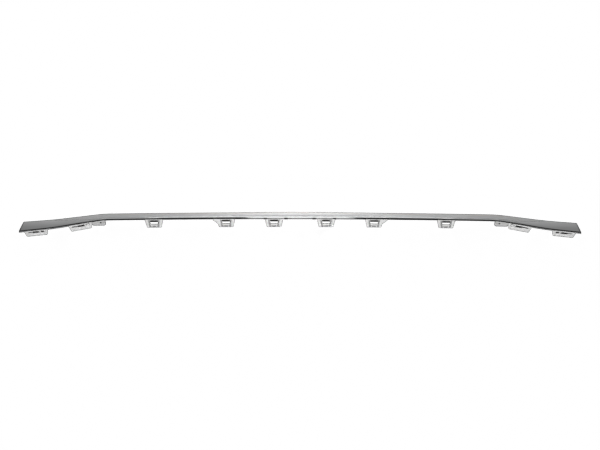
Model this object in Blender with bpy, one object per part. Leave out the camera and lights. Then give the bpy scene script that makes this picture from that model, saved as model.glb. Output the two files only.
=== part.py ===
"""Chrome trim strip of a car bumper: one plated moulding, lying show face up.

Metres, +Z up. The strip runs along X. Its show face slopes down from the ridge to the free edge
on the +Y side, and its snap loops reach down from the ridge on the -Y side, so the section
stands like a low tent. The origin is the middle of the bounding box's underside.
"""

import math

import bmesh
import bpy
from mathutils import Matrix, Vector

NAME = "bumper_trim"

# Run of the ridge, half of it from the middle outwards
BOW_HALF_LENGTH = 0.403  # middle to the centre of the shoulder bend
BOW_SAG = 0.0029  # how far the bow falls back over that length
WING_LENGTH = 0.172  # centre of the shoulder bend to the tip
WING_DROP = 0.0228  # how far the wing falls back beyond the bow
SHOULDER_BEND_LENGTH = 0.040
WING_BEND_OFFSET = 0.102  # shoulder bend to the softer bend in the wing
WING_BEND_LENGTH = 0.070
WING_BEND_EASE = 0.49  # share of the shoulder's slope that the softer bend takes back
RIDGE_RISE = 0.0011  # middle to tip, over the floor
END_RAKE = 0.009  # how much sooner the free edge ends than the ridge

# Section
FACE_WIDTH_MIDDLE = 0.0204
FACE_WIDTH_BOW = 0.0187
FACE_WIDTH_TIP = 0.0243
MIDDLE_TAPER_LENGTH = 0.205  # middle to where the face has narrowed to the bow's width
FACE_TILT_BOW = math.radians(48.6)  # slope of the face over the floor
FACE_TILT_TIP = math.radians(32.0)
FACE_CROWN = 0.0005
WALL = 0.0025
RIDGE_RADIUS = 0.0022
EDGE_RADIUS = 0.0010
RETURN_DEPTH = 0.0040  # depth of the ridge's return, square to the face
LIP_DEPTH = 0.0030  # depth of the free edge's lip
LIP_WALL = 0.0015
END_WALL = 0.0020
END_WALL_INSET = 0.0003  # end of the strip to the wall that closes it

# Snap loops
CENTRE_LOOP_SPACING = 0.107  # between the two loops nearest the middle
LOOP_PITCH = 0.150  # middle to the second loop, and second to third
SHOULDER_LOOP_OFFSET = 0.047  # shoulder bend to the shoulder loop
END_LOOP_INSET = 0.035  # tip of the ridge to the end loop
LOOP_REACH = 0.0243  # face to the loop's tip
SHOULDER_LOOP_REACH = 0.0200
END_LOOP_REACH = 0.0210
LOOP_ROOT_WIDTH = 0.0390
LOOP_TIP_WIDTH = 0.0290
WIDE_LOOP_ROOT_WIDTH = 0.0475
WIDE_LOOP_TIP_WIDTH = 0.0385
LOOP_THICKNESS = 0.0016
FRAME_RISE = 0.0008  # how far the frame round a window stands out
FRAME_LEG = 0.0027  # width of the frame beside a window
FRAME_STEP = 0.0010  # tip of the plate to the frame's end
FRAME_ROOT = 0.0005  # how deep the frame is rooted in the plate
LOOP_SETBACK = 0.0012  # outside of the return to the outside of the frame
NECK = 0.0022  # foot of the return to the frame's top
FRAME_TOP = 0.0005  # above the window
TIP_BAR = 0.0036  # below the window
LEAD_IN = 0.0025  # how far the tip's inner edge is drawn back
LOOP_CORNER = 0.0020
WINDOW_WIDTH = 0.0185
WINDOW_TAPER = 0.0018  # how much each side of the window closes towards the tip
WINDOW_TOP_RADIUS = 0.0008
WINDOW_TIP_RADIUS = 0.0028
BAR_GROOVE_WIDTH = 0.0016
BAR_GROOVE_SPACING = 0.0100
BAR_GROOVE_TOP = 0.0005  # window's tip to the groove
POCKET_HEIGHT = 0.0034  # blind pocket between the frame's top and the window
END_POCKET_HEIGHT = 0.0018
POCKET_INSET = 0.0014  # side of the window to the side of its pocket
POCKET_DEPTH = 0.0016

# Two windows of a wide loop, and the blind recess outboard of them
WIDE_WINDOW_OUTBOARD = 0.0150
WIDE_WINDOW_INBOARD = 0.0080
WIDE_WINDOW_POST = 0.0024  # upright between the two windows
SHOULDER_WINDOW_START = 0.0079  # middle of the loop to the windows' outboard side
END_WINDOW_START = 0.0099
SHOULDER_RECESS_LENGTH = 0.0100
END_RECESS_LENGTH = 0.0065
RECESS_HEIGHT = 0.0030
RECESS_DEPTH = 0.0012

# Fins beside the second loops
FIN_LENGTH = 0.0295  # middle of the loop to the fin's point
FIN_FALL = 0.0120  # neck to where the fin's edge meets the loop
FIN_POINT = 0.0012  # blunt height of the point
FIN_THINNING = 0.25  # share of the loop's thickness that the fin lacks

# Locator tabs inboard of the shoulder loops
LOCATOR_OFFSET = 0.0085  # shoulder bend to the locator
LOCATOR_WIDTH = 0.0275
LOCATOR_INBOARD_REACH = 0.0167
LOCATOR_OUTBOARD_REACH = 0.0119
LOCATOR_CORNER = 0.0040
LOCATOR_HOLE = 0.0030
LOCATOR_HOLE_SHIFT = 0.0037  # inboard of the tab's middle
LOCATOR_HOLE_DROP = 0.0044  # foot of the return to the hole

# Notches in the return's foot, one on each side of the middle
NOTCH_SPACING = 0.053
NOTCH_WIDTH = 0.0060
NOTCH_DEPTH = 0.0013

# Modelling
SQUARE_CORNER = 0.0002  # cut of the corners that are meant to be square
EMBED = 0.0010  # how deep a joined piece is rooted in the wall
OVERRUN = 0.0020  # how far a cutter runs past what it cuts
BOW_STEP = 0.034
SHOULDER_STEP = 0.005
WING_STEP = 0.010
CORNER_STEPS = 3
HOLE_STEPS = 12
RIDGE_STEPS = 6
FACE_STEPS = 8

HALF_LENGTH = BOW_HALF_LENGTH + WING_LENGTH
CHROME_COLOUR = (0.60, 0.60, 0.61, 1.0)
CHROME_ROUGHNESS = 0.06


def blend(low, high, share):
    return low + (high - low) * share


def bend(distance, length):
    """Height of a line that turns from level to a slope of 1 over a bend of this length."""
    t = distance / length + 0.5
    if t <= 0.0:
        return 0.0
    if t >= 1.0:
        return distance
    return length * (t**3 - t**4 / 2)


def wing_run(x):
    beyond = abs(x) - BOW_HALF_LENGTH
    softer = bend(beyond - WING_BEND_OFFSET, WING_BEND_LENGTH)
    return bend(beyond, SHOULDER_BEND_LENGTH) - WING_BEND_EASE * softer


def wing_share(x):
    """0 in the bow and 1 at the tip, along the two bends of the wing."""
    return wing_run(x) / wing_run(HALF_LENGTH)


def face_width(x):
    t = min(abs(x) / MIDDLE_TAPER_LENGTH, 1.0)
    bow = blend(FACE_WIDTH_MIDDLE, FACE_WIDTH_BOW, t * t * (3 - 2 * t))
    return bow + (FACE_WIDTH_TIP - FACE_WIDTH_BOW) * wing_share(x)


def face_tilt(x):
    return blend(FACE_TILT_BOW, FACE_TILT_TIP, wing_share(x))


def ridge(x):
    back = BOW_SAG * (x / BOW_HALF_LENGTH) ** 2 + WING_DROP * wing_share(x)
    return Vector((x, -back, RIDGE_RISE * wing_share(x)))


def ridge_direction(x):
    return (ridge(x + SHOULDER_STEP) - ridge(x - SHOULDER_STEP)).normalized()


def face_normal(x):
    return Vector((0, math.sin(face_tilt(x)), math.cos(face_tilt(x))))


def on_section(x, along, out):
    """Point of the flat section at x: along the face from the ridge, and out from the face."""
    down = Vector((0, math.cos(face_tilt(x)), -math.sin(face_tilt(x))))
    rake = END_RAKE / FACE_WIDTH_TIP * x / HALF_LENGTH
    return ridge(x) + along * (down - rake * ridge_direction(x)) + out * face_normal(x)


def loop_matrix(x, setback):
    """Frame of a flat tab at x: its X along the ridge, its Y out of the face, its Z outwards."""
    tangent = ridge_direction(x)
    inwards = face_normal(x).cross(tangent).normalized()
    up = tangent.cross(inwards)
    matrix = Matrix((tangent, up, -inwards)).transposed().to_4x4()
    matrix.translation = ridge(x) + setback * inwards
    return matrix


def arc(centre, radius, start, end, steps):
    angles = [math.radians(blend(start, end, i / steps)) for i in range(steps + 1)]
    return [(centre[0] + radius * math.cos(a), centre[1] + radius * math.sin(a)) for a in angles]


def rounded(corners, radii):
    """Closed outline through the corners, each cut by an arc of its own radius."""
    outline = []
    for i, (corner, radius) in enumerate(zip(corners, radii)):
        here = Vector(corner)
        before = (Vector(corners[i - 1]) - here).normalized()
        after = (Vector(corners[(i + 1) % len(corners)]) - here).normalized()
        half = before.angle(after) / 2
        centre = here + (before + after).normalized() * radius / math.sin(half)
        start = here + before * radius / math.tan(half) - centre
        sweep = start.angle_signed(here + after * radius / math.tan(half) - centre)
        for k in range(CORNER_STEPS + 1):
            turned = start.copy()
            turned.rotate(Matrix.Rotation(-sweep * k / CORNER_STEPS, 2))
            outline.append(tuple(centre + turned))
    return outline


def shell_outline(x):
    """Section of the strip: over the ridge and the face, and back along the hollow inside."""
    width = face_width(x)
    span = width - RIDGE_RADIUS - EDGE_RADIUS
    lean = 2 * math.atan(2 * FACE_CROWN / span)
    first = RIDGE_RADIUS * (1 - math.sin(lean))
    last = width - EDGE_RADIUS * (1 - math.sin(lean))
    crown = (last - first) / 2 / math.sin(lean)
    degrees = math.degrees(lean)
    ridge_centre = (RIDGE_RADIUS, -RIDGE_RADIUS * math.cos(lean))
    face_centre = ((first + last) / 2, -crown * math.cos(lean))
    edge_centre = (width - EDGE_RADIUS, -EDGE_RADIUS * math.cos(lean))
    outline = [(0.0, -RETURN_DEPTH)]
    outline += arc(ridge_centre, RIDGE_RADIUS, 180, 90 + degrees, RIDGE_STEPS)
    outline += arc(face_centre, crown, 90 + degrees, 90 - degrees, FACE_STEPS)[1:]
    outline += arc(edge_centre, EDGE_RADIUS, 90 - degrees, 0, CORNER_STEPS)[1:]
    inner = width - LIP_WALL
    outline += [(width, -LIP_DEPTH), (inner, -LIP_DEPTH), (inner, -WALL)]
    outline += [((first + last) / 2, FACE_CROWN - WALL), (WALL, -WALL), (WALL, -RETURN_DEPTH)]
    return outline


def end_wall_outline(x):
    """Section of the hollow, rooted in the walls round it."""
    far = face_width(x) - LIP_WALL / 2
    return [(WALL / 2, EMBED - RETURN_DEPTH), (WALL / 2, -EMBED), (far, -EMBED), (far, -WALL)]


def stations():
    """Places along X where the strip has a section, closer in the bends."""
    shoulder = BOW_HALF_LENGTH - SHOULDER_BEND_LENGTH / 2
    marks = [0.0, shoulder, shoulder + SHOULDER_BEND_LENGTH, HALF_LENGTH]
    half = [0.0]
    for start, stop, step in zip(marks, marks[1:], (BOW_STEP, SHOULDER_STEP, WING_STEP)):
        count = math.ceil((stop - start) / step)
        half += [blend(start, stop, (i + 1) / count) for i in range(count)]
    return [-x for x in reversed(half[1:])] + half


def add(name, mesh, collection):
    thing = bpy.data.objects.new(name, mesh)
    collection.objects.link(thing)
    return thing


def loft(name, outline, places, collection):
    shape = bmesh.new()
    rings = []
    for x in places:
        rings.append([shape.verts.new(on_section(x, a, h)) for a, h in outline(x)])
    for left, right in zip(rings, rings[1:]):
        for i in range(len(left)):
            j = (i + 1) % len(left)
            shape.faces.new((left[i], left[j], right[j], right[i]))
    shape.faces.new(rings[0])
    shape.faces.new(rings[-1])
    bmesh.ops.recalc_face_normals(shape, faces=shape.faces)
    bmesh.ops.triangulate(shape, faces=shape.faces)
    mesh = bpy.data.meshes.new(name)
    shape.to_mesh(mesh)
    shape.free()
    return add(name, mesh, collection)


def plate(name, outline, near, far, x, collection, lead_in=0.0):
    """Flat outline made solid from near to far, both measured inwards from the return's face."""
    curve = bpy.data.curves.new(name, "CURVE")
    curve.dimensions = "2D"
    curve.fill_mode = "BOTH"
    curve.extrude = (far - near) / 2
    spline = curve.splines.new("POLY")
    spline.points.add(len(outline) - 1)
    for point, (u, v) in zip(spline.points, outline):
        point.co = (u, v, 0, 1)
    spline.use_cyclic_u = True
    drawn = add(name, curve, collection)
    filled = drawn.evaluated_get(bpy.context.evaluated_depsgraph_get())
    mesh = bpy.data.meshes.new_from_object(filled)
    bpy.data.objects.remove(drawn)
    shape = bmesh.new()
    shape.from_mesh(mesh)
    bmesh.ops.remove_doubles(shape, verts=shape.verts, dist=1e-6)
    reach = -min(vert.co.y for vert in shape.verts)
    for vert in shape.verts:
        if vert.co.z < 0:
            vert.co.y *= 1 - lead_in / reach
    bmesh.ops.recalc_face_normals(shape, faces=shape.faces)
    shape.to_mesh(mesh)
    shape.free()
    solid = add(name, mesh, collection)
    solid.matrix_world = loop_matrix(x, (near + far) / 2)
    return solid


def boolean(thing, operation, collection):
    modifier = thing.modifiers.new(operation.lower(), "BOOLEAN")
    modifier.operation = operation
    modifier.operand_type = "COLLECTION"
    modifier.collection = collection
    modifier.solver = "EXACT"


def tapered(top, tip, left, right, top_radius, tip_radius, left_taper=0.0, right_taper=0.0):
    """Outline from left to right at the top, each side closing by its taper towards the tip."""
    corners = [(left, top), (right, top), (right - right_taper, tip), (left + left_taper, tip)]
    return rounded(corners, (top_radius, top_radius, tip_radius, tip_radius))


def square(top, tip, left, right):
    return tapered(top, tip, left, right, SQUARE_CORNER, SQUARE_CORNER)


def loop_blank(name, x, root_width, tip_width, reach, framed, joined):
    """Plate of a loop, and the frame that stands out round its windows."""
    root = EMBED - WALL
    back = LOOP_SETBACK + FRAME_RISE
    half = root_width / 2
    taper = (root_width - tip_width) / 2
    outline = tapered(root, -reach, -half, half, SQUARE_CORNER, LOOP_CORNER, taper, taper)
    plate(f"{name}_plate", outline, back, back + LOOP_THICKNESS, x, joined, LEAD_IN)
    frame = tapered(
        -RETURN_DEPTH - NECK,
        FRAME_STEP - reach,
        framed[0] - FRAME_LEG,
        framed[1] + FRAME_LEG,
        WINDOW_TOP_RADIUS,
        LOOP_CORNER,
        WINDOW_TAPER,
        WINDOW_TAPER,
    )
    plate(f"{name}_frame", frame, LOOP_SETBACK, back + FRAME_ROOT, x, joined)


def loop_cuts(name, x, reach, pocket_height, windows, cut):
    """Windows of a loop, the blind pocket over each, and the two grooves in its tip bar."""
    near = LOOP_SETBACK - OVERRUN
    face = LOOP_SETBACK + FRAME_RISE
    pocket_top = -RETURN_DEPTH - NECK - FRAME_TOP
    top = pocket_top - pocket_height
    tip = TIP_BAR - reach
    last = len(windows) - 1
    for i, (left, right) in enumerate(windows):
        left_taper = WINDOW_TAPER if i == 0 else 0.0
        right_taper = WINDOW_TAPER if i == last else 0.0
        radius = WINDOW_TIP_RADIUS / len(windows)
        outline = tapered(top, tip, left, right, WINDOW_TOP_RADIUS, radius, left_taper, right_taper)
        plate(f"{name}_window_{i}", outline, near, face + LOOP_THICKNESS + OVERRUN, x, cut)
        if pocket_height == 0.0:
            continue
        pocket = square(pocket_top, top - WINDOW_TOP_RADIUS, left + POCKET_INSET, right - POCKET_INSET)
        plate(f"{name}_pocket_{i}", pocket, near, LOOP_SETBACK + POCKET_DEPTH, x, cut)
    middle = (windows[0][0] + windows[-1][1]) / 2
    half = BAR_GROOVE_WIDTH / 2
    for side in (-1, 1):
        centre = middle + side * BAR_GROOVE_SPACING / 2
        groove = square(tip - BAR_GROOVE_TOP, -reach - OVERRUN, centre - half, centre + half)
        plate(f"{name}_groove_{side}", groove, near, face, x, cut)


def plain_loop(name, x, joined, cut):
    window = (-WINDOW_WIDTH / 2, WINDOW_WIDTH / 2)
    loop_blank(name, x, LOOP_ROOT_WIDTH, LOOP_TIP_WIDTH, LOOP_REACH, window, joined)
    loop_cuts(name, x, LOOP_REACH, POCKET_HEIGHT, [window], cut)


def towards_middle(x, *spans):
    """Spans measured from a tab's middle towards the strip's middle, as left and right ends."""
    inboard = -math.copysign(1, x)
    return sorted(tuple(sorted((inboard * near, inboard * far))) for near, far in spans)


def wide_windows(start):
    """The two windows of a wide loop, measured towards the strip's middle."""
    post = WIDE_WINDOW_OUTBOARD - start
    end = post + WIDE_WINDOW_POST + WIDE_WINDOW_INBOARD
    return [(-start, post), (post + WIDE_WINDOW_POST, end)]


def wide_loop(name, x, reach, start, recess_length, pocket_height, joined, cut):
    windows = wide_windows(start)
    framed = towards_middle(x, (windows[0][0] - recess_length, windows[-1][1]))[0]
    loop_blank(name, x, WIDE_LOOP_ROOT_WIDTH, WIDE_LOOP_TIP_WIDTH, reach, framed, joined)
    loop_cuts(name, x, reach, pocket_height, towards_middle(x, *windows), cut)
    inset = POCKET_INSET if pocket_height else 0.0
    left, right = towards_middle(x, (-start - recess_length, inset + WINDOW_TOP_RADIUS - start))[0]
    top = -RETURN_DEPTH - NECK - FRAME_TOP - WINDOW_TOP_RADIUS
    recess = square(top, top - RECESS_HEIGHT, left, right)
    plate(f"{name}_recess", recess, LOOP_SETBACK - OVERRUN, LOOP_SETBACK + RECESS_DEPTH, x, cut)


def fin(name, x, joined):
    outboard = math.copysign(1, x)
    root = EMBED - WALL
    neck = -RETURN_DEPTH - NECK
    inner = LOOP_TIP_WIDTH / 2
    corners = [
        (inner, root),
        (FIN_LENGTH, root),
        (FIN_LENGTH, neck - FIN_POINT),
        (inner, neck - FIN_FALL),
    ]
    outline = [(outboard * u, v) for u, v in corners]
    back = LOOP_SETBACK + FRAME_RISE
    inset = LOOP_THICKNESS * FIN_THINNING / 2
    plate(name, outline, back + inset, back + LOOP_THICKNESS - inset, x, joined)


def locator(name, x, joined, cut):
    """Tab whose foot runs level while the strip bends away over it."""
    inboard = -math.copysign(1, x)
    half = inboard * LOCATOR_WIDTH / 2
    corners = [
        (-half, EMBED - WALL),
        (half, EMBED - WALL),
        (half, -LOCATOR_INBOARD_REACH),
        (-half, -LOCATOR_OUTBOARD_REACH),
    ]
    outline = rounded(corners, (SQUARE_CORNER, SQUARE_CORNER, LOCATOR_CORNER, LOCATOR_CORNER))
    back = LOOP_SETBACK + FRAME_RISE
    plate(name, outline, back, back + LOOP_THICKNESS, x, joined)
    centre = (inboard * LOCATOR_HOLE_SHIFT, -RETURN_DEPTH - LOCATOR_HOLE_DROP)
    hole = arc(centre, LOCATOR_HOLE / 2, 0, 360 - 360 / HOLE_STEPS, HOLE_STEPS - 1)
    plate(f"{name}_hole", hole, back - OVERRUN, back + LOOP_THICKNESS + OVERRUN, x, cut)


def notch(name, x, cut):
    half = NOTCH_WIDTH / 2
    foot = -RETURN_DEPTH
    outline = square(foot + NOTCH_DEPTH, foot - OVERRUN, -half, half)
    plate(name, outline, -OVERRUN, LOOP_SETBACK + FRAME_RISE / 2, x, cut)


def chrome():
    material = bpy.data.materials.new("chrome")
    material.use_nodes = True
    shader = material.node_tree.nodes["Principled BSDF"]
    shader.inputs["Base Color"].default_value = CHROME_COLOUR
    shader.inputs["Metallic"].default_value = 1.0
    shader.inputs["Roughness"].default_value = CHROME_ROUGHNESS
    return material


def new_collection(name):
    collection = bpy.data.collections.new(name)
    bpy.context.scene.collection.children.link(collection)
    return collection


def build():
    for thing in list(bpy.data.objects):
        bpy.data.objects.remove(thing)
    shown = new_collection("bumper chrome trim")
    joined = new_collection("joined pieces")
    cut = new_collection("cutters")

    strip = loft(NAME, shell_outline, stations(), shown)
    strip.data.materials.append(chrome())

    for side, hand in ((-1, "left"), (1, "right")):
        outer = HALF_LENGTH - END_WALL_INSET
        places = sorted((side * outer, side * (outer - END_WALL)))
        loft(f"{hand}_end_wall", end_wall_outline, places, joined)
        plain_loop(f"{hand}_loop_1", side * CENTRE_LOOP_SPACING / 2, joined, cut)
        plain_loop(f"{hand}_loop_2", side * LOOP_PITCH, joined, cut)
        plain_loop(f"{hand}_loop_3", side * LOOP_PITCH * 2, joined, cut)
        fin(f"{hand}_fin", side * LOOP_PITCH, joined)
        locator(f"{hand}_locator", side * (BOW_HALF_LENGTH + LOCATOR_OFFSET), joined, cut)
        shoulder = side * (BOW_HALF_LENGTH + SHOULDER_LOOP_OFFSET)
        wide_loop(
            f"{hand}_shoulder_loop", shoulder, SHOULDER_LOOP_REACH, SHOULDER_WINDOW_START,
            SHOULDER_RECESS_LENGTH, 0.0, joined, cut,
        )
        end = side * (HALF_LENGTH - END_LOOP_INSET)
        wide_loop(
            f"{hand}_end_loop", end, END_LOOP_REACH, END_WINDOW_START,
            END_RECESS_LENGTH, END_POCKET_HEIGHT, joined, cut,
        )
        notch(f"{hand}_notch", side * NOTCH_SPACING / 2, cut)

    boolean(strip, "UNION", joined)
    boolean(strip, "DIFFERENCE", cut)

    frame = bpy.data.objects.new("trim_frame", None)
    shown.objects.link(frame)
    strip.parent = frame
    for collection in (joined, cut):
        for thing in collection.objects:
            thing.parent = frame
            thing.hide_render = True
            thing.display_type = "WIRE"

    bpy.context.view_layer.update()
    whole = strip.evaluated_get(bpy.context.evaluated_depsgraph_get())
    corners = [Vector(corner) for corner in whole.bound_box]
    low = Vector([min(c[i] for c in corners) for i in range(3)])
    high = Vector([max(c[i] for c in corners) for i in range(3)])
    frame.location = (-(low.x + high.x) / 2, -(low.y + high.y) / 2, -low.z)


build()
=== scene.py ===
import math

import bmesh
import bpy
from mathutils import Matrix, Vector


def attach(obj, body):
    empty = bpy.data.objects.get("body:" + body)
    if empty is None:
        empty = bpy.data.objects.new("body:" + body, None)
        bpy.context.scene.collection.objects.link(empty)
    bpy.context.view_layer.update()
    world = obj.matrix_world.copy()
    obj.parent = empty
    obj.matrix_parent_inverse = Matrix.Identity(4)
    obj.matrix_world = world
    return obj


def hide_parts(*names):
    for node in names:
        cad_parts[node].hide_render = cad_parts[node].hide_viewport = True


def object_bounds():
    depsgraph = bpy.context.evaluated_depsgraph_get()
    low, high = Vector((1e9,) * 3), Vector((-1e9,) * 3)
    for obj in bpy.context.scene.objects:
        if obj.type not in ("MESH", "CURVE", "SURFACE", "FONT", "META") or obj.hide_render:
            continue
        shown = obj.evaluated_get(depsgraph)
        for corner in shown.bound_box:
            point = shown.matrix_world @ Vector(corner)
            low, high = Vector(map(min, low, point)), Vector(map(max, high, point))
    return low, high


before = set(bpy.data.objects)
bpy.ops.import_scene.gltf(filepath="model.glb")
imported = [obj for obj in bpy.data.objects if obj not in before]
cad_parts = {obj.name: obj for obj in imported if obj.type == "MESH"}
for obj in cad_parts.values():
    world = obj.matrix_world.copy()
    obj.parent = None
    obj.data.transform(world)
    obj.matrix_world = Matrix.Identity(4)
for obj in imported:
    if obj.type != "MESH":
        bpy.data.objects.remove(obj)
cad_low, cad_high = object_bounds()
scene = bpy.context.scene
scene.view_settings.view_transform = "Standard"

# Camera. It hangs over the strip's snap-loop side and looks almost straight down, from far enough
# away that the strip's two halves look alike. The photograph is turned a little, right side low.
CAMERA_DISTANCE = 3.0
CAMERA_ELEVATION = math.radians(82.0)
CAMERA_ROLL = math.radians(0.13)
CAMERA_SENSOR = 36.0
CAMERA_NEAREST = 0.05
CAMERA_FARTHEST = 50.0
PHOTO_WIDTH = 600
STRIP_LEFT_PIXEL = 18.7
STRIP_RIGHT_PIXEL = 580.5
LOOK_AT = Vector((0.0008, -0.0012, 0.0))

strip_length = cad_high.x - cad_low.x
seen_width = strip_length * PHOTO_WIDTH / (STRIP_RIGHT_PIXEL - STRIP_LEFT_PIXEL)
away = Vector((0, -math.cos(CAMERA_ELEVATION), math.sin(CAMERA_ELEVATION)))
camera_data = bpy.data.cameras.new("camera")
camera_data.sensor_width = CAMERA_SENSOR
camera_data.lens = CAMERA_SENSOR * (CAMERA_DISTANCE - cad_high.z) / seen_width
camera_data.clip_start = CAMERA_NEAREST
camera_data.clip_end = CAMERA_FARTHEST
camera = bpy.data.objects.new("camera", camera_data)
camera.location = LOOK_AT + away * CAMERA_DISTANCE
camera.rotation_euler = (math.pi / 2 - CAMERA_ELEVATION, 0, CAMERA_ROLL)
scene.collection.objects.link(camera)
scene.camera = camera

# Floor. A large sheet of matt white board, on which the strip lies free. The strip's shadow shows
# on it, and the rest of it melts into the white of the studio.
FLOOR_HALF_SIZE = 6.0
BOARD_TONES = ((0.3, 0.560), (0.7, 0.585))
BOARD_FIBRE_SCALE = 700.0
PAPER_ROUGHNESS = 0.9


def grey(level):
    return (level, level, level, 1)


def add_node(tree, kind, settings, inputs):
    """A node with these settings. Each input is a value, or a socket to link it to."""
    node = tree.nodes.new(kind)
    for name, value in settings.items():
        setattr(node, name, value)
    for name, value in inputs.items():
        if isinstance(value, bpy.types.NodeSocket):
            tree.links.new(value, node.inputs[name])
        else:
            node.inputs[name].default_value = value
    return node


def add_ramp(tree, factor, stops):
    """Greys read off along a factor, from stops of place and level."""
    ramp = add_node(tree, "ShaderNodeValToRGB", {}, {"Fac": factor})
    elements = ramp.color_ramp.elements
    while len(elements) < len(stops):
        elements.new(1.0)
    for element, (place, level) in zip(elements, stops):
        element.position = place
        element.color = grey(level)
    return ramp.outputs["Color"]


def new_material(name):
    material = bpy.data.materials.new(name)
    material.use_nodes = True
    return material, material.node_tree, material.node_tree.nodes["Principled BSDF"]


def flat_sheet(name, half_length, near, far, level, material):
    """Level sheet across the strip's middle, from near to far along Y."""
    corners = [
        (-half_length, near, level),
        (half_length, near, level),
        (half_length, far, level),
        (-half_length, far, level),
    ]
    mesh = bpy.data.meshes.new(name)
    mesh.from_pydata(corners, [], [(0, 1, 2, 3)])
    mesh.materials.append(material)
    sheet = bpy.data.objects.new(name, mesh)
    scene.collection.objects.link(sheet)
    return sheet


board, board_tree, board_shader = new_material("matt white board")
fibres = add_node(board_tree, "ShaderNodeTexNoise", {}, {"Scale": BOARD_FIBRE_SCALE, "Detail": 3.0})
board_tone = add_ramp(board_tree, fibres.outputs["Fac"], BOARD_TONES)
board_tree.links.new(board_tone, board_shader.inputs["Base Color"])
board_shader.inputs["Roughness"].default_value = PAPER_ROUGHNESS
floor = flat_sheet("floor", FLOOR_HALF_SIZE, -FLOOR_HALF_SIZE, FLOOR_HALF_SIZE, 0.0, board)
floor.is_shadow_catcher = True

# Studio. A grey wall behind the strip that darkens upwards, under a dark ceiling. The side walls
# and the room on the camera's side are darker. Below the horizon is the white of the backdrop.
WALL_BEHIND = (
    (0.0, 0.55),
    (0.10, 0.48),
    (0.20, 0.42),
    (0.31, 0.34),
    (0.45, 0.30),
    (0.58, 0.30),
    (0.62, 0.03),
)
SIDE_WALLS = 0.12
ROOM_IN_FRONT = 0.035
FRONT_TO_BEHIND = (-0.10, 0.30)
BEHIND_TO_SIDES = (0.26, 0.40)


def mix_colours(tree, factor, first, second):
    mix = add_node(tree, "ShaderNodeMix", {"data_type": "RGBA"}, {})
    for socket, value in zip((mix.inputs[0], mix.inputs[6], mix.inputs[7]), (factor, first, second)):
        if isinstance(value, bpy.types.NodeSocket):
            tree.links.new(value, socket)
        else:
            socket.default_value = value
    return mix.outputs[2]


def smooth_rise(tree, value, span):
    """0 up to the span's lower end and 1 beyond its upper end, with a smooth rise between."""
    rise = add_node(
        tree,
        "ShaderNodeMapRange",
        {"interpolation_type": "SMOOTHSTEP"},
        {"Value": value, "From Min": span[0], "From Max": span[1]},
    )
    return rise.outputs["Result"]


studio = bpy.data.worlds.new("studio")
studio.use_nodes = True
scene.world = studio
air = studio.node_tree
looking = add_node(air, "ShaderNodeTexCoord", {}, {})
heading = add_node(air, "ShaderNodeSeparateXYZ", {}, {"Vector": looking.outputs["Generated"]})
behind = add_ramp(air, heading.outputs["Z"], WALL_BEHIND)
turned_back = smooth_rise(air, heading.outputs["Y"], FRONT_TO_BEHIND)
sideways = add_node(air, "ShaderNodeMath", {"operation": "ABSOLUTE"}, {0: heading.outputs["X"]})
turned_aside = smooth_rise(air, sideways.outputs["Value"], BEHIND_TO_SIDES)
wall = mix_colours(air, turned_aside, behind, grey(SIDE_WALLS))
walls = mix_colours(air, turned_back, grey(ROOM_IN_FRONT), wall)
below = add_node(air, "ShaderNodeMath", {"operation": "LESS_THAN"}, {0: heading.outputs["Z"], 1: 0.0})
surround = mix_colours(air, below.outputs["Value"], walls, grey(1.0))
air.links.new(surround, air.nodes["Background"].inputs["Color"])

# Lamps. The main lamp hangs at the camera, so that what it shades is hidden from it. A small one
# lights the board round the middle, and a long one the board behind the bow. The panels only
# gleam in the plate: a long one across the middle, a low one behind, and one over each side.
MAIN_LAMP_SIZE = (0.50, 0.50)
MAIN_LAMP_RADIANCE = 96.0
MIDDLE_LAMP_PLACE = (0.0, -0.03, 0.22)
MIDDLE_LAMP_SIZE = (0.06, 0.04)
MIDDLE_LAMP_RADIANCE = 100.0
BOW_LAMP_PLACE = (0.0, 0.28, 0.12)
BOW_LAMP_SIZE = (0.50, 0.04)
BOW_LAMP_RADIANCE = 12.0
MIDDLE_PANEL_PLACE = (0.0, 0.30, 0.60)
MIDDLE_PANEL_SIZE = (0.265, 2.70)
MIDDLE_PANEL_RADIANCE = 1.20
LOW_PANEL_PLACE = (0.0, 1.00, 0.35)
LOW_PANEL_AIM = (0.0, 0.0, 0.35)
LOW_PANEL_SIZE = (0.86, 0.70)
LOW_PANEL_RADIANCE = 0.95
SIDE_PANEL_PLACE = (0.493, 0.48, 0.80)
SIDE_PANEL_SIZE = (0.213, 0.72)
SIDE_PANEL_RADIANCE = 0.85
HANDS = ((-1, "left"), (1, "right"))


def area_lamp(name, place, size, radiance, aim):
    """Rectangular lamp of this size and radiance, facing its aim, that the camera doesn't see."""
    lamp = bpy.data.lights.new(name, "AREA")
    lamp.shape = "RECTANGLE"
    lamp.size = size[0]
    lamp.size_y = size[1]
    lamp.energy = radiance * math.pi * size[0] * size[1]
    thing = bpy.data.objects.new(name, lamp)
    thing.location = place
    thing.rotation_euler = (Vector(aim) - Vector(place)).to_track_quat("-Z", "Y").to_euler()
    thing.visible_camera = False
    scene.collection.objects.link(thing)
    return thing


def board_lamp(name, place, size, radiance):
    """Lamp that lights the board right under it, and nothing else."""
    lamp = area_lamp(name, place, size, radiance, (place[0], place[1], 0.0))
    lamp.visible_glossy = False
    lamp.data.use_shadow = False
    lamp.light_linking.receiver_collection = board_only


def panel(name, place, size, radiance, aim):
    """Lamp that shows in the plate only."""
    lamp = area_lamp(name, place, size, radiance, aim)
    lamp.visible_diffuse = False


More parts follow.
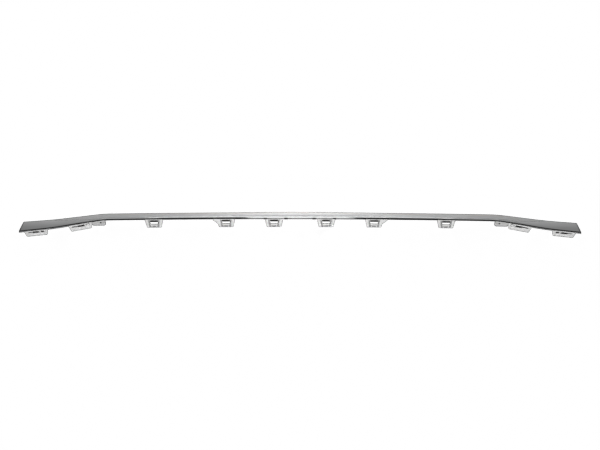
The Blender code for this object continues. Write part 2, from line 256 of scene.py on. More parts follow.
main_lamp = area_lamp(
    "lamp beside the camera",
    camera.location,
    MAIN_LAMP_SIZE,
    MAIN_LAMP_RADIANCE,
    LOOK_AT,
)
main_lamp.visible_glossy = False
board_only = bpy.data.collections.new("lit by the lamps over the board")
board_only.objects.link(floor)
board_lamp("lamp over the middle", MIDDLE_LAMP_PLACE, MIDDLE_LAMP_SIZE, MIDDLE_LAMP_RADIANCE)
board_lamp("lamp behind the bow", BOW_LAMP_PLACE, BOW_LAMP_SIZE, BOW_LAMP_RADIANCE)
panel(
    "panel across the middle",
    MIDDLE_PANEL_PLACE,
    MIDDLE_PANEL_SIZE,
    MIDDLE_PANEL_RADIANCE,
    (MIDDLE_PANEL_PLACE[0], MIDDLE_PANEL_PLACE[1], 0.0),
)
panel("panel behind the bow", LOW_PANEL_PLACE, LOW_PANEL_SIZE, LOW_PANEL_RADIANCE, LOW_PANEL_AIM)
for side, hand in HANDS:
    over, back, up = SIDE_PANEL_PLACE
    panel(
        f"panel over the {hand} side",
        (side * over, back, up),
        SIDE_PANEL_SIZE,
        SIDE_PANEL_RADIANCE,
        (side * over, 0.0, 0.0),
    )

# Card. A grey card lies behind the middle of the bow, and draws a fine darker line along the face
# where the plate mirrors it. Neither the camera nor the board sees it.
CARD_GREY = 0.10
CARD_HALF_LENGTH = 0.145
CARD_NEAR = 0.087
CARD_FAR = 0.103
CARD_LEVEL = 0.001

card_paper, _, card_shader = new_material("grey card")
card_shader.inputs["Base Color"].default_value = grey(CARD_GREY)
card_shader.inputs["Roughness"].default_value = PAPER_ROUGHNESS
card = flat_sheet("card", CARD_HALF_LENGTH, CARD_NEAR, CARD_FAR, CARD_LEVEL, card_paper)
card.visible_camera = False
card.visible_diffuse = False
card.visible_shadow = False

# Strip. The show face, the ridge it folds over and the short return below it, moulded in ABS in
# one shot and plated bright all over. The free edge ends in a lip, and both ends roll down a little.
BOW_HALF_LENGTH = 0.403
BOW_SAG = 0.0035
WING_LENGTH = 0.172
WING_DROP = 0.0228
SHOULDER_BEND_LENGTH = 0.040
WING_BEND_OFFSET = 0.102
WING_BEND_LENGTH = 0.070
WING_BEND_EASE = 0.49
RIDGE_RISE = 0.0011
RIDGE_AT_MIDDLE = Vector((0, 0.01192, 0.01764))
END_RAKE = 0.0066
END_ROLL = 0.0030
END_ROLL_SHARE = 0.30
FACE_WIDTH_MIDDLE = 0.0204
FACE_WIDTH_BOW = 0.0187
FACE_WIDTH_TIP = 0.0243
MIDDLE_TAPER_LENGTH = 0.205
FACE_TILT_BOW = math.radians(48.6)
FACE_TILT_TIP = math.radians(32.0)
FACE_CROWN = 0.0005
WALL = 0.0025
RIDGE_RADIUS = 0.0022
EDGE_RADIUS = 0.0010
RETURN_DEPTH = 0.0040
FOOT_RADIUS = 0.0005
LIP_DEPTH = 0.0030
LIP_WALL = 0.0015
LIP_RADIUS = 0.00025
INNER_RADIUS = 0.0006
FOOT_STEPS = 4
RIDGE_STEPS = 16
FACE_STEPS = 12
EDGE_STEPS = 8
LIP_STEPS = 3
STATION_STEP = 0.0030
END_STEPS = 10
SHARP_ANGLE = math.radians(35.0)

HALF_LENGTH = BOW_HALF_LENGTH + WING_LENGTH


def blend(low, high, share):
    return low + (high - low) * share


def bend(distance, length):
    """Height of a line that turns from level to a slope of 1 over a bend of this length."""
    t = distance / length + 0.5
    if t <= 0.0:
        return 0.0
    if t >= 1.0:
        return distance
    return length * (t**3 - t**4 / 2)


def wing_run(x):
    beyond = abs(x) - BOW_HALF_LENGTH
    softer = bend(beyond - WING_BEND_OFFSET, WING_BEND_LENGTH)
    return bend(beyond, SHOULDER_BEND_LENGTH) - WING_BEND_EASE * softer


def wing_share(x):
    """0 in the bow and 1 at the tip, along the two bends of the wing."""
    return wing_run(x) / wing_run(HALF_LENGTH)


def face_width(x):
    t = min(abs(x) / MIDDLE_TAPER_LENGTH, 1.0)
    bow = blend(FACE_WIDTH_MIDDLE, FACE_WIDTH_BOW, t * t * (3 - 2 * t))
    return bow + (FACE_WIDTH_TIP - FACE_WIDTH_BOW) * wing_share(x)


def face_tilt(x):
    return blend(FACE_TILT_BOW, FACE_TILT_TIP, wing_share(x))


def ridge(x):
    back = BOW_SAG * (x / BOW_HALF_LENGTH) ** 2 + WING_DROP * wing_share(x)
    return RIDGE_AT_MIDDLE + Vector((x, -back, RIDGE_RISE * wing_share(x)))


def ridge_direction(x):
    step = SHOULDER_BEND_LENGTH / 8
    return (ridge(x + step) - ridge(x - step)).normalized()


def face_normal(x):
    return Vector((0, math.sin(face_tilt(x)), math.cos(face_tilt(x))))


def end_drop(x):
    """How far the section has rolled down, close to the strip's end."""
    into = max(0.0, abs(x) - (HALF_LENGTH - END_ROLL))
    return END_ROLL - math.sqrt(max(0.0, END_ROLL**2 - into**2))


def on_section(x, along, out):
    """Point of the flat section at x: along the face from the ridge, and out from the face."""
    down = Vector((0, math.cos(face_tilt(x)), -math.sin(face_tilt(x))))
    rake = END_RAKE / FACE_WIDTH_TIP * x / HALF_LENGTH
    level = out - end_drop(x) * END_ROLL_SHARE
    return ridge(x) + along * (down - rake * ridge_direction(x)) + level * face_normal(x)


def arc(centre, radius, start, end, steps):
    angles = [math.radians(blend(start, end, i / steps)) for i in range(steps + 1)]
    return [(centre[0] + radius * math.cos(a), centre[1] + radius * math.sin(a)) for a in angles]


def strip_section(x):
    """Section of the strip: up the return, over the ridge and the face, and back inside."""
    width = face_width(x)
    span = width - RIDGE_RADIUS - EDGE_RADIUS
    lean = 2 * math.atan(2 * FACE_CROWN / span)
    degrees = math.degrees(lean)
    first = RIDGE_RADIUS * (1 - math.sin(lean))
    last = width - EDGE_RADIUS * (1 - math.sin(lean))
    crown = (last - first) / 2 / math.sin(lean)
    ridge_centre = (RIDGE_RADIUS, -RIDGE_RADIUS * math.cos(lean))
    face_centre = ((first + last) / 2, -crown * math.cos(lean))
    edge_centre = (width - EDGE_RADIUS, -EDGE_RADIUS * math.cos(lean))
    lip = width - LIP_WALL
    lip_foot = LIP_RADIUS - LIP_DEPTH
    foot = FOOT_RADIUS - RETURN_DEPTH
    outline = arc((FOOT_RADIUS, foot), FOOT_RADIUS, 270, 180, FOOT_STEPS)
    outline += arc(ridge_centre, RIDGE_RADIUS, 180, 90 + degrees, RIDGE_STEPS)
    outline += arc(face_centre, crown, 90 + degrees, 90 - degrees, FACE_STEPS)[1:]
    outline += arc(edge_centre, EDGE_RADIUS, 90 - degrees, 0, EDGE_STEPS)[1:]
    outline += arc((width - LIP_RADIUS, lip_foot), LIP_RADIUS, 0, -90, LIP_STEPS)
    outline += arc((lip + LIP_RADIUS, lip_foot), LIP_RADIUS, 270, 180, LIP_STEPS)
    outline += [(lip, -WALL), ((first + last) / 2, FACE_CROWN - WALL)]
    outline += arc((WALL + INNER_RADIUS, -WALL - INNER_RADIUS), INNER_RADIUS, 90, 180, FOOT_STEPS)
    outline += arc((WALL - FOOT_RADIUS, foot), FOOT_RADIUS, 0, -90, FOOT_STEPS)
    return outline


def stations():
    """Places along X for the sections, much closer where the ends roll down."""
    count = math.ceil((HALF_LENGTH - END_ROLL) / STATION_STEP)
    run = [(HALF_LENGTH - END_ROLL) * i / count for i in range(count + 1)]
    turns = [math.pi / 2 * i / END_STEPS for i in range(1, END_STEPS + 1)]
    run += [HALF_LENGTH - END_ROLL + END_ROLL * math.sin(turn) for turn in turns]
    return [-x for x in reversed(run[1:])] + run


def loft(outline, places):
    """Closed skin through the outline's sections at these places."""
    shape = bmesh.new()
    rings = [[shape.verts.new(on_section(x, a, h)) for a, h in outline(x)] for x in places]
    for left, right in zip(rings, rings[1:]):
        for i in range(len(left)):
            j = (i + 1) % len(left)
            shape.faces.new((left[i], left[j], right[j], right[i]))
    shape.faces.new(rings[0])
    shape.faces.new(rings[-1])
    bmesh.ops.recalc_face_normals(shape, faces=shape.faces)
    return shape


def finish_piece(name, shape, material):
    """Names a piece of this shape, smooth but for its sharp edges, that stands for the solid."""
    mesh = bpy.data.meshes.new(name)
    shape.to_mesh(mesh)
    shape.free()
    for face in mesh.polygons:
        face.use_smooth = True
    mesh.set_sharp_from_angle(angle=SHARP_ANGLE)
    mesh.materials.append(material)
    piece = bpy.data.objects.new(name, mesh)
    scene.collection.objects.link(piece)
    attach(piece, "root")
    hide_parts("bumper_trim")


def new_group(name, inputs, outputs):
    """A shader group with its named inputs, each with a value, and its named outputs."""
    group = bpy.data.node_groups.new(name, "ShaderNodeTree")
    for label, value in inputs.items():
        socket = group.interface.new_socket(name=label, in_out="INPUT", socket_type="NodeSocketFloat")
        socket.default_value = value
    for label, kind in outputs.items():
        group.interface.new_socket(name=label, in_out="OUTPUT", socket_type=kind)
    return group, group.nodes.new("NodeGroupInput"), group.nodes.new("NodeGroupOutput")


def drawn_noise(tree, place, stretch, scale, detail):
    """Noise that is drawn out along the strip: the smaller the stretch, the longer its marks."""
    drawn_out = add_node(
        tree,
        "ShaderNodeMapping",
        {},
        {"Vector": place, "Scale": (stretch, 1.0, 1.0)},
    )
    noise = add_node(
        tree,
        "ShaderNodeTexNoise",
        {},
        {"Vector": drawn_out.outputs["Vector"], "Scale": scale, "Detail": detail},
    )
    return noise.outputs["Fac"]


def add_bump(tree, height, strength, depth):
    bump = add_node(
        tree,
        "ShaderNodeBump",
        {},
        {"Height": height, "Strength": strength, "Distance": depth},
    )
    return bump.outputs["Normal"]


# Haze of handling and polishing: soft patches, and fine hairlines along the strip.
HAIRLINE_STRETCH = 0.04
HAZE_SPAN = (0.15, 0.42)

handling, given, handed = new_group(
    "handling haze",
    {"Patch Scale": 30.0, "Hairline Scale": 220.0, "Low": 0.03, "High": 0.10},
    {"Roughness": "NodeSocketFloat", "Mask": "NodeSocketFloat"},
)
place = add_node(handling, "ShaderNodeTexCoord", {}, {}).outputs["Object"]
patches = add_node(
    handling,
    "ShaderNodeTexNoise",
    {},
    {"Vector": place, "Scale": given.outputs["Patch Scale"], "Detail": 4.0},
)
hairlines = drawn_noise(handling, place, HAIRLINE_STRETCH, given.outputs["Hairline Scale"], 2.0)
both = add_node(
    handling,
    "ShaderNodeMath",
    {"operation": "MULTIPLY"},
    {0: patches.outputs["Fac"], 1: hairlines},
)
haze = smooth_rise(handling, both.outputs["Value"], HAZE_SPAN)
roughness = add_node(
    handling,
    "ShaderNodeMapRange",
    {},
    {"Value": haze, "To Min": given.outputs["Low"], "To Max": given.outputs["High"]},
)
handling.links.new(roughness.outputs["Result"], handed.inputs["Roughness"])
handling.links.new(haze, handed.inputs["Mask"])

# Bright plate, with the faint ripple that a long moulding shows in its gloss.
CHROME_COLOUR = (0.600, 0.604, 0.608, 1.0)
CHROME_HAZED = (0.560, 0.563, 0.566, 1.0)
RIPPLE_STRETCH = 0.35
RIPPLE_SCALE = 90.0
RIPPLE_STRENGTH = 0.5
RIPPLE_DEPTH = 0.00004

bright, bright_tree, bright_shader = new_material("bright chrome plate")
worn = add_node(bright_tree, "ShaderNodeGroup", {"node_tree": handling}, {})
colour = mix_colours(bright_tree, worn.outputs["Mask"], CHROME_COLOUR, CHROME_HAZED)
along_strip = add_node(bright_tree, "ShaderNodeTexCoord", {}, {}).outputs["Object"]
ripple = drawn_noise(bright_tree, along_strip, RIPPLE_STRETCH, RIPPLE_SCALE, 1.0)
rippled = add_bump(bright_tree, ripple, RIPPLE_STRENGTH, RIPPLE_DEPTH)
bright_tree.links.new(colour, bright_shader.inputs["Base Color"])
bright_tree.links.new(worn.outputs["Roughness"], bright_shader.inputs["Roughness"])
bright_tree.links.new(rippled, bright_shader.inputs["Normal"])
bright_shader.inputs["Metallic"].default_value = 1.0

finish_piece("trim_strip", loft(strip_section, stations()), bright)

# End walls. Each end of the channel is closed by a thin wall, moulded with the strip and set back
# by a hair behind its end.
END_WALL = 0.0020
END_WALL_INSET = 0.0004
ROOTED = 0.0010


def channel_section(x):
    """Section of the hollow, rooted in the walls round it."""
    far = face_width(x) - LIP_WALL / 2
    return [(WALL / 2, ROOTED - RETURN_DEPTH), (WALL / 2, -ROOTED), (far, -ROOTED), (far, -WALL)]


for side, hand in HANDS:
    outer = HALF_LENGTH - END_WALL_INSET
    ends = sorted((side * outer, side * (outer - END_WALL)))
    finish_piece(f"{hand}_end_wall", loft(channel_section, ends), bright)

# Snap loops. Flat moulded tabs under the return, one in each slot of the bumper, in duller plate.
# A raised frame stands round the window and the blind pocket over it, darker with painted shade. A
# stop, black with painted shade, closes the pocket, and a thin rib in the same darker painted shade
# crosses the window at the back.
CENTRE_LOOP_SPACING = 0.107
SECOND_LOOP = 0.1522
THIRD_LOOP = 0.300
LOOP_REACH = 0.0243
LOOP_ROOT_WIDTH = 0.0390
LOOP_TIP_WIDTH = 0.0290
LOOP_THICKNESS = 0.0016
LOOP_SETBACK = 0.0012
LOOP_CORNER = 0.0020
LEAD_IN = 0.0025
NECK = 0.0022
TIP_BAR = 0.0046
FRAME_RISE = 0.0008
FRAME_LEG = 0.0027
FRAME_STEP = 0.0010
FRAME_ROOT = 0.0005
FRAME_TOP = 0.0005
WINDOW_WIDTH = 0.0185
WINDOW_TAPER = 0.0018
WINDOW_TOP_RADIUS = 0.0008
WINDOW_TIP_RADIUS = 0.0028
BAR_GROOVE_WIDTH = 0.0016
BAR_GROOVE_SPACING = 0.0100
BAR_GROOVE_TOP = 0.0005
POCKET_HEIGHT = 0.0034
POCKET_INSET = 0.0014
STOP_OVERLAP = 0.0004
RIB_DROP = 0.0102
RIB_HEIGHT = 0.0008
EDGE_BREAK = 0.00022
BREAK_STEPS = 2
CORNER_STEPS = 8
WELD = 1e-6
DULL_COLOUR = (0.92, 0.92, 0.92, 1.0)
DULL_HAZED = (0.82, 0.82, 0.815, 1.0)
DULL_METALLIC = 0.05
DULL_ROUGHNESS = (0.42, 0.58)
# The frames' darker tone is painted shade on their walls and edges; the hazed tone is wear.
FRAME_SHADE_COLOUR = (0.52, 0.52, 0.52, 1.0)
FRAME_SHADE_HAZED = (0.43, 0.43, 0.43, 1.0)
FRAME_METALLIC = 0.32
FRAME_ROUGHNESS = (0.26, 0.40)
# Black of painted shade for the stops, recess floors and hole floors; the dusty tone is wear.
PAINTED_SHADE_COLOUR = (0.022, 0.022, 0.023, 1.0)
PAINTED_SHADE_DUSTY = (0.045, 0.044, 0.043, 1.0)
PAINTED_SHADE_METALLIC = 0.0
PAINTED_SHADE_ROUGHNESS = (0.50, 0.65)
PATCH_SCALE = 120.0
HAIRLINE_SCALE = 400.0
GRAIN_SCALE = 2500.0
GRAIN_STRENGTH = 0.3
GRAIN_DEPTH = 0.00003

NECK_FOOT = -RETURN_DEPTH - NECK
WINDOW_TOP = NECK_FOOT - FRAME_TOP
PLATE_FRONT = LOOP_SETBACK + FRAME_RISE
PLATE_BACK = PLATE_FRONT + LOOP_THICKNESS


def tab_matrix(x, setback):
    """Frame of a flat tab at x: its X along the ridge, its Y out of the face, its Z outwards."""
    tangent = ridge_direction(x)
    inwards = face_normal(x).cross(tangent).normalized()
    up = tangent.cross(inwards)
    matrix = Matrix((tangent, up, -inwards)).transposed().to_4x4()
    matrix.translation = ridge(x) + setback * inwards
    return matrix


def rounded(corners, radii):
    """Closed outline through the corners, each cut by an arc of its own radius."""
    outline = []
    for i, (corner, radius) in enumerate(zip(corners, radii)):
        here = Vector(corner)
        if radius == 0.0:
            outline.append(tuple(here))
            continue
        before = (Vector(corners[i - 1]) - here).normalized()
        after = (Vector(corners[(i + 1) % len(corners)]) - here).normalized()
        half_angle = before.angle(after) / 2
        centre = here + (before + after).normalized() * radius / math.sin(half_angle)
        start = here + before * radius / math.tan(half_angle) - centre
        sweep = start.angle_signed(here + after * radius / math.tan(half_angle) - centre)
        for k in range(CORNER_STEPS + 1):
            turned = start.copy()
            turned.rotate(Matrix.Rotation(-sweep * k / CORNER_STEPS, 2))
            outline.append(tuple(centre + turned))
    return outline


def tapered(top, tip, left, right, top_radius=0.0, tip_radius=0.0, taper=0.0):
    """Outline from left to right at the top, each side closing by the taper towards the tip."""
    corners = [(left, top), (right, top), (right - taper, tip), (left + taper, tip)]
    return rounded(corners, (top_radius, top_radius, tip_radius, tip_radius))


def winding(outline):
    """Twice the signed area: above 0 if the outline runs anticlockwise."""
    return sum(a[0] * b[1] - b[0] * a[1] for a, b in zip(outline, outline[1:] + outline[:1]))


def moulded_plate(outer, holes, front, back, x, edge_break=EDGE_BREAK, lead_in=0.0):
    """Flat plate with softly broken edges. Its front and back lie this far inside the return."""
    curve = bpy.data.curves.new("plate", "CURVE")
    curve.dimensions = "2D"
    curve.fill_mode = "BOTH"
    curve.extrude = (back - front) / 2 - edge_break
    curve.bevel_depth = edge_break
    curve.bevel_resolution = BREAK_STEPS
    curve.offset = -edge_break
    for outline, anticlockwise in [(outer, True)] + [(hole, False) for hole in holes]:
        run = outline if (winding(outline) > 0) == anticlockwise else outline[::-1]
        spline = curve.splines.new("POLY")
        spline.points.add(len(run) - 1)
        for point, (u, v) in zip(spline.points, run):
            point.co = (u, v, 0, 1)
        spline.use_cyclic_u = True
    drawn = bpy.data.objects.new("plate", curve)
    scene.collection.objects.link(drawn)
    filled = drawn.evaluated_get(bpy.context.evaluated_depsgraph_get())
    mesh = bpy.data.meshes.new_from_object(filled)
    bpy.data.objects.remove(drawn)
    bpy.data.curves.remove(curve)
    shape = bmesh.new()
    shape.from_mesh(mesh)
    bpy.data.meshes.remove(mesh)
    bmesh.ops.remove_doubles(shape, verts=shape.verts, dist=WELD)
    reach = -min(vert.co.y for vert in shape.verts)
    for vert in shape.verts:
        if vert.co.z < 0:
            vert.co.y *= 1 - lead_in / reach
    bmesh.ops.recalc_face_normals(shape, faces=shape.faces)
    shape.transform(tab_matrix(x, (front + back) / 2))
    return shape


def together(shapes):
    """One shape out of several."""
    whole = shapes[0]
    for extra in shapes[1:]:
        mesh = bpy.data.meshes.new("extra")
        extra.to_mesh(mesh)
        extra.free()
        whole.from_mesh(mesh)
        bpy.data.meshes.remove(mesh)
    return whole


def window_outlines(reach, windows, pocket_height):
    """Outlines of the windows, each with the blind pocket over it."""
    sill = WINDOW_TOP - pocket_height
    tip = TIP_BAR - reach
    last = len(windows) - 1
    outlines = []
    for i, (left, right) in enumerate(windows):
        left_foot = left + (WINDOW_TAPER if i == 0 else 0.0)
        right_foot = right - (WINDOW_TAPER if i == last else 0.0)
        corners = [(left, sill), (right, sill), (right_foot, tip), (left_foot, tip)]
        foot_radius = WINDOW_TIP_RADIUS / len(windows)
        radii = [WINDOW_TOP_RADIUS, WINDOW_TOP_RADIUS, foot_radius, foot_radius]
        if pocket_height:
            near = left + POCKET_INSET
            far = right - POCKET_INSET
            pocket = [(near, sill), (near, WINDOW_TOP), (far, WINDOW_TOP), (far, sill)]
            corners = pocket + corners[1:] + corners[:1]
            radii = [0.0, 0.0, 0.0, 0.0] + radii[1:] + radii[:1]
        outlines.append(rounded(corners, radii))
    return outlines


def frame_outline(reach, framed, windows):
    """Outline of the raised frame, with the two grooves of its tip bar."""
    foot = FRAME_STEP - reach
    left = framed[0] - FRAME_LEG
    right = framed[1] + FRAME_LEG
    groove_top = TIP_BAR - reach - BAR_GROOVE_TOP
    middle = (windows[0][0] + windows[-1][1]) / 2
    corners = [(left, NECK_FOOT), (right, NECK_FOOT), (right - WINDOW_TAPER, foot)]
    radii = [WINDOW_TOP_RADIUS, WINDOW_TOP_RADIUS, LOOP_CORNER]
    for side in (1, -1):
        near = middle + side * BAR_GROOVE_SPACING / 2 + BAR_GROOVE_WIDTH / 2
        far = near - BAR_GROOVE_WIDTH
        corners += [(near, foot), (near, groove_top), (far, groove_top), (far, foot)]
        radii += [0.0, 0.0, 0.0, 0.0]
    corners.append((left + WINDOW_TAPER, foot))
    radii.append(LOOP_CORNER)
    return rounded(corners, radii)


def snap_loop(name, x, reach, root, taper, pocket_height, windows, stops, framed, frame_plate_or_shade, holes=None):
    """A loop's plate, the frame round its windows, and the stop down the top of each window, which is
    black with painted shade.

    The root and what is framed are given as left and right ends. The frame has holes of its own
    where they differ from the plate's.
    """
    outer = tapered(ROOTED - WALL, -reach, *root, 0.0, LOOP_CORNER, taper)
    openings = window_outlines(reach, windows, pocket_height)
    plate = moulded_plate(outer, openings, PLATE_FRONT, PLATE_BACK, x, lead_in=LEAD_IN)
    finish_piece(name, plate, dull)
    raised = frame_outline(reach, framed, windows)
    rim = moulded_plate(raised, holes or openings, LOOP_SETBACK, PLATE_FRONT + FRAME_ROOT, x)
    finish_piece(f"{name}_frame", rim, frame_plate_or_shade)
    # Each stop is a black plate of painted shade that closes the top of a window's pocket.
    faces = []
    for left, right, drop in stops:
        left -= ROOTED / 2
        right += ROOTED / 2
        area = tapered(WINDOW_TOP + ROOTED / 2, WINDOW_TOP - drop, left, right)
        faces.append(moulded_plate(area, [], PLATE_FRONT, PLATE_BACK - EDGE_BREAK, x, EDGE_BREAK / 2))
    finish_piece(f"{name}_stops", together(faces), painted_deep_shade)


def plate_material(name, colour, hazed, metallic, roughness):
    """Dull plate on a moulded grain: patchy in colour and gloss."""
    material, tree, shader = new_material(name)
    dulled = add_node(
        tree,
        "ShaderNodeGroup",
        {"node_tree": handling},
        {
            "Patch Scale": PATCH_SCALE,
            "Hairline Scale": HAIRLINE_SCALE,
            "Low": roughness[0],
            "High": roughness[1],
        },
    )
    grain = add_node(tree, "ShaderNodeTexNoise", {}, {"Scale": GRAIN_SCALE, "Detail": 2.0})
    grained = add_bump(tree, grain.outputs["Fac"], GRAIN_STRENGTH, GRAIN_DEPTH)
    tree.links.new(mix_colours(tree, dulled.outputs["Mask"], colour, hazed), shader.inputs["Base Color"])
    tree.links.new(dulled.outputs["Roughness"], shader.inputs["Roughness"])
    tree.links.new(grained, shader.inputs["Normal"])
    shader.inputs["Metallic"].default_value = metallic
    return material


dull = plate_material("dull plate", DULL_COLOUR, DULL_HAZED, DULL_METALLIC, DULL_ROUGHNESS)
# Darker plate of painted shade, for the frames, ribs and locator rims.
painted_edge_shade = plate_material(
    "plate darkened with painted shade",
    FRAME_SHADE_COLOUR,
    FRAME_SHADE_HAZED,
    FRAME_METALLIC,
    FRAME_ROUGHNESS,
)
# Black painted shade, for the stops, recess floors, hole floors and dashes.
painted_deep_shade = plate_material("black painted shade", PAINTED_SHADE_COLOUR, PAINTED_SHADE_DUSTY, PAINTED_SHADE_METALLIC, PAINTED_SHADE_ROUGHNESS)

window = (-WINDOW_WIDTH / 2, WINDOW_WIDTH / 2)
rib_top = WINDOW_TOP - RIB_DROP
for side, hand in HANDS:
    for number, x in enumerate((CENTRE_LOOP_SPACING / 2, SECOND_LOOP, THIRD_LOOP), 1):
        name = f"{hand}_loop_{number}"
        snap_loop(
            name,
            side * x,
            LOOP_REACH,
            root=(-LOOP_ROOT_WIDTH / 2, LOOP_ROOT_WIDTH / 2),
            taper=(LOOP_ROOT_WIDTH - LOOP_TIP_WIDTH) / 2,
            pocket_height=POCKET_HEIGHT,
            windows=[window],
            stops=[(window[0] + POCKET_INSET, window[1] - POCKET_INSET, POCKET_HEIGHT + STOP_OVERLAP)],
            framed=window,
            frame_plate_or_shade=painted_edge_shade,
        )
        # The rib is in the darker plate of painted shade.
        rib = tapered(rib_top, rib_top - RIB_HEIGHT, *window)
        crossing = moulded_plate(rib, [], PLATE_BACK - ROOTED, PLATE_BACK, side * x)
        finish_piece(f"{name}_rib", crossing, painted_edge_shade)

# Wide snap loops, at the shoulders and near the ends. They take two catches each, so they have two
# windows with a post between. Outboard of them the frame has a recess whose floor is black with
# painted shade, and the plate stands out by an ear.
SHOULDER_LOOP_OFFSET = 0.047
END_LOOP_INSET = 0.035
SHOULDER_LOOP_REACH = 0.0200
END_LOOP_REACH = 0.0210
WIDE_LOOP_ROOT_WIDTH = 0.0475
WIDE_LOOP_TIP_WIDTH = 0.0385
WIDE_LOOP_EAR = 0.0027
WIDE_WINDOW_OUTBOARD = 0.0150
WIDE_WINDOW_INBOARD = 0.0080
WIDE_WINDOW_POST = 0.0024
SHOULDER_WINDOW_START = 0.0079
END_WINDOW_START = 0.0099
SHOULDER_RECESS_LENGTH = 0.0117
END_RECESS_LENGTH = 0.0077
RECESS_HEIGHT = 0.0030
RECESS_LEVEL = 0.0002
RECESS_TOP = WINDOW_TOP - WINDOW_TOP_RADIUS
SHOULDER_POCKET_HEIGHT = 0.0
END_POCKET_HEIGHT = 0.0018
# Drops of the black stops of painted shade, for the outboard and the inboard window.
SHOULDER_STOPS = (0.0047, 0.0018)
END_STOPS = (0.0054, 0.0050)


def towards_middle(x, *spans):
    """Spans measured from a tab's middle towards the strip's middle, as left and right ends."""
    inboard = -math.copysign(1, x)
    return sorted(tuple(sorted((inboard * near, inboard * far))) for near, far in spans)


def recessed_window(x, reach, pocket_height, window, recess_length):
    """Outline of the frame's outboard hole: window, pocket, and the recess that leads off it."""
    outboard = math.copysign(1, x)
    inner, outer = sorted(window, key=lambda end: outboard * end)
    inset = outboard * POCKET_INSET if pocket_height else 0.0
    sill = WINDOW_TOP - pocket_height
    tip = TIP_BAR - reach
    shelf = RECESS_TOP - RECESS_HEIGHT
    slope = WINDOW_TAPER / (sill - tip)
    far = outer + outboard * recess_length
    corners = [
        (inner + inset, WINDOW_TOP),
        (outer - inset, WINDOW_TOP),
        (outer - inset, RECESS_TOP),
        (far, RECESS_TOP),
        (far, shelf),
        (outer - outboard * slope * (sill - shelf), shelf),
        (outer - outboard * WINDOW_TAPER, tip),
        (inner, tip),
    ]
    radius = WINDOW_TIP_RADIUS / 2
    radii = [0.0, 0.0, 0.0, 0.0, 0.0, 0.0, radius, radius]
    if pocket_height:
        corners += [(inner, sill), (inner + inset, sill)]
        radii += [WINDOW_TOP_RADIUS, 0.0]
    return rounded(corners, radii)


def wide_loop(name, x, reach, start, recess_length, pocket_height, drops):
    """Wide loop with its recess. The windows start this far outboard of the loop's middle."""
    outboard_drop, inboard_drop = drops
    post = WIDE_WINDOW_OUTBOARD - start
    end = post + WIDE_WINDOW_POST + WIDE_WINDOW_INBOARD
    framed = towards_middle(x, (-start - recess_length, end))[0]
    windows = towards_middle(x, (-start, post), (post + WIDE_WINDOW_POST, end))
    with_recess = towards_middle(x, (-start, post))[0]
    holes = window_outlines(reach, windows, pocket_height)
    recessed = recessed_window(x, reach, pocket_height, with_recess, recess_length)
    holes[windows.index(with_recess)] = recessed
    stops = []
    for window in windows:
        stops.append((*window, outboard_drop if window == with_recess else inboard_drop))
    near = with_recess[0 if x < 0 else 1]
    along = sorted((near, near + math.copysign(recess_length, x)))
    # The recess floor is a plate of black painted shade.
    shelf = tapered(RECESS_TOP, RECESS_TOP - RECESS_HEIGHT, *along)
    recess = moulded_plate(shelf, [], PLATE_FRONT - RECESS_LEVEL, PLATE_FRONT + FRAME_ROOT, x)
    finish_piece(f"{name}_recess", recess, painted_deep_shade)
    snap_loop(
        name,
        x,
        reach,
        root=towards_middle(x, (-WIDE_LOOP_ROOT_WIDTH / 2 - WIDE_LOOP_EAR, WIDE_LOOP_ROOT_WIDTH / 2))[0],
        taper=(WIDE_LOOP_ROOT_WIDTH - WIDE_LOOP_TIP_WIDTH) / 2,
        pocket_height=pocket_height,
        windows=windows,
        stops=stops,
        framed=framed,
        frame_plate_or_shade=dull,
        holes=holes,
    )


for side, hand in HANDS:
    wide_loop(
        f"{hand}_shoulder_loop",
        side * (BOW_HALF_LENGTH + SHOULDER_LOOP_OFFSET),
        SHOULDER_LOOP_REACH,
        SHOULDER_WINDOW_START,
        SHOULDER_RECESS_LENGTH,
        SHOULDER_POCKET_HEIGHT,
        SHOULDER_STOPS,
    )
    wide_loop(
        f"{hand}_end_loop",
        side * (HALF_LENGTH - END_LOOP_INSET),
        END_LOOP_REACH,
        END_WINDOW_START,
        END_RECESS_LENGTH,
        END_POCKET_HEIGHT,
        END_STOPS,
    )

# Fins. A thin web runs out from the side of each second loop and falls away along the return.
# It is moulded with the loop, and a little thinner than its plate.
FIN_LENGTH = 0.0266
FIN_FALL = 0.0120
FIN_POINT = 0.0012
FIN_THINNING = 0.25

for side, hand in HANDS:
    inner = LOOP_TIP_WIDTH / 2
    corners = [
        (side * inner, ROOTED - WALL),
        (side * FIN_LENGTH, ROOTED - WALL),
        (side * FIN_LENGTH, NECK_FOOT - FIN_POINT),
        (side * inner, NECK_FOOT - FIN_FALL),
    ]
    web = rounded(corners, (0.0, 0.0, FIN_POINT / 2, 0.0))
    inset = LOOP_THICKNESS * FIN_THINNING / 2
    fin = moulded_plate(web, [], PLATE_FRONT + inset, PLATE_BACK - inset, side * SECOND_LOOP)
    finish_piece(f"{hand}_fin", fin, dull)

# Locators. A satin tab inboard of each shoulder loop, and butted behind its plate, with a raised
# rim darker in painted shade and a small blind hole for a pin, whose floor is black painted shade.
# Its foot runs level while the strip bends away over it.
LOCATOR_OFFSET = 0.0115
LOCATOR_WIDTH = 0.0280
LOCATOR_INBOARD_REACH = 0.0183
LOCATOR_OUTBOARD_REACH = 0.0131
LOCATOR_CORNER = 0.0040
LOCATOR_HOLE = 0.0036
LOCATOR_HOLE_SHIFT = 0.0044
LOCATOR_HOLE_DROP = 0.0062
LOCATOR_HOLE_STEPS = 24
LOCATOR_RIM = 0.0009
LOCATOR_RIM_RISE = 0.0003
LOCATOR_BEHIND = 0.0002
SATIN_COLOUR = (0.74, 0.74, 0.74, 1.0)
SATIN_HAZED = (0.64, 0.64, 0.635, 1.0)
SATIN_METALLIC = 0.15
SATIN_ROUGHNESS = (0.36, 0.50)


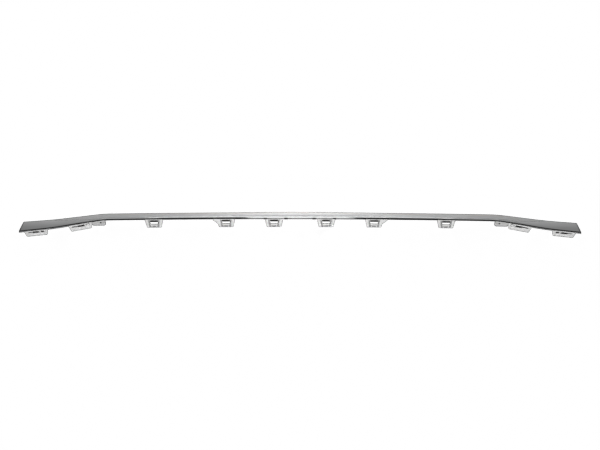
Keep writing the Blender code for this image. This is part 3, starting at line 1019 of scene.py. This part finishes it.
def circle(centre, radius):
    last = LOCATOR_HOLE_STEPS - 1
    return arc(centre, radius, 0, 360 * last / LOCATOR_HOLE_STEPS, last)


satin = plate_material("satin plate", SATIN_COLOUR, SATIN_HAZED, SATIN_METALLIC, SATIN_ROUGHNESS)

for side, hand in HANDS:
    x = side * (BOW_HALF_LENGTH + LOCATOR_OFFSET)
    inboard = -side
    half = inboard * LOCATOR_WIDTH / 2
    shy = half - inboard * LOCATOR_RIM
    slope = (LOCATOR_INBOARD_REACH - LOCATOR_OUTBOARD_REACH) / LOCATOR_WIDTH
    front = PLATE_FRONT + LOCATOR_BEHIND
    back = front + LOOP_THICKNESS
    rim_front = front - LOCATOR_RIM_RISE
    rim_back = front + FRAME_ROOT
    pin = (inboard * LOCATOR_HOLE_SHIFT, -RETURN_DEPTH - LOCATOR_HOLE_DROP)
    tab = [
        (-half, ROOTED - WALL),
        (half, ROOTED - WALL),
        (half, -LOCATOR_INBOARD_REACH),
        (-half, -LOCATOR_OUTBOARD_REACH),
    ]
    outline = rounded(tab, (0.0, 0.0, LOCATOR_CORNER, LOCATOR_CORNER))
    hole = circle(pin, LOCATOR_HOLE / 2)
    finish_piece(f"{hand}_locator", moulded_plate(outline, [hole], front, back, x), satin)
    rim = [
        (half, NECK_FOOT),
        (half, -LOCATOR_INBOARD_REACH),
        (-half, -LOCATOR_OUTBOARD_REACH),
        (-half, NECK_FOOT),
        (-shy, NECK_FOOT),
        (-shy, LOCATOR_RIM * (1 - slope) - LOCATOR_OUTBOARD_REACH),
        (shy, LOCATOR_RIM * (1 + slope) - LOCATOR_INBOARD_REACH),
        (shy, NECK_FOOT),
    ]
    inner_corner = LOCATOR_CORNER - LOCATOR_RIM
    radii = (0.0, LOCATOR_CORNER, LOCATOR_CORNER, 0.0, 0.0, inner_corner, inner_corner, 0.0)
    raised = moulded_plate(rounded(rim, radii), [], rim_front, rim_back, x)
    along = sorted((inboard * (LOCATOR_HOLE_SHIFT + LOCATOR_HOLE / 2 + LOCATOR_RIM / 2), shy))
    line = tapered(pin[1] + LOCATOR_RIM / 2, pin[1] - LOCATOR_RIM / 2, *along)
    ribbed = moulded_plate(line, [], rim_front, rim_back, x)
    # The rim and its rib are in the darker plate of painted shade.
    finish_piece(f"{hand}_locator_rim", together([raised, ribbed]), painted_edge_shade)
    # The hole's floor is a disc of black painted shade.
    disc = circle(pin, LOCATOR_HOLE / 2 + EDGE_BREAK)
    hole_floor = moulded_plate(disc, [], rim_back, back - EDGE_BREAK, x, EDGE_BREAK / 2)
    finish_piece(f"{hand}_locator_hole", hole_floor, painted_deep_shade)

# Shade dashes. Short black plates stand a hair proud along the foot of the return, on both sides of
# the middle, as painted shade.
SHADE_DASH_PLACES = (0.0288, 0.0710)
SHADE_DASH_WIDTH = 0.0066
SHADE_DASH_HEIGHT = 0.0032
SHADE_DASH_PROUD = 0.0002

for side, hand in HANDS:
    foot = -RETURN_DEPTH - SHADE_DASH_PROUD
    dash_outline = tapered(foot + SHADE_DASH_HEIGHT, foot, -SHADE_DASH_WIDTH / 2, SHADE_DASH_WIDTH / 2, EDGE_BREAK, EDGE_BREAK)
    shade_dashes = [moulded_plate(dash_outline, [], -SHADE_DASH_PROUD, ROOTED, side * x, SHADE_DASH_PROUD / 2) for x in SHADE_DASH_PLACES]
    # Each dash is a black plate of painted shade.
    finish_piece(f"{hand}_painted_shade_dashes", together(shade_dashes), painted_deep_shade)
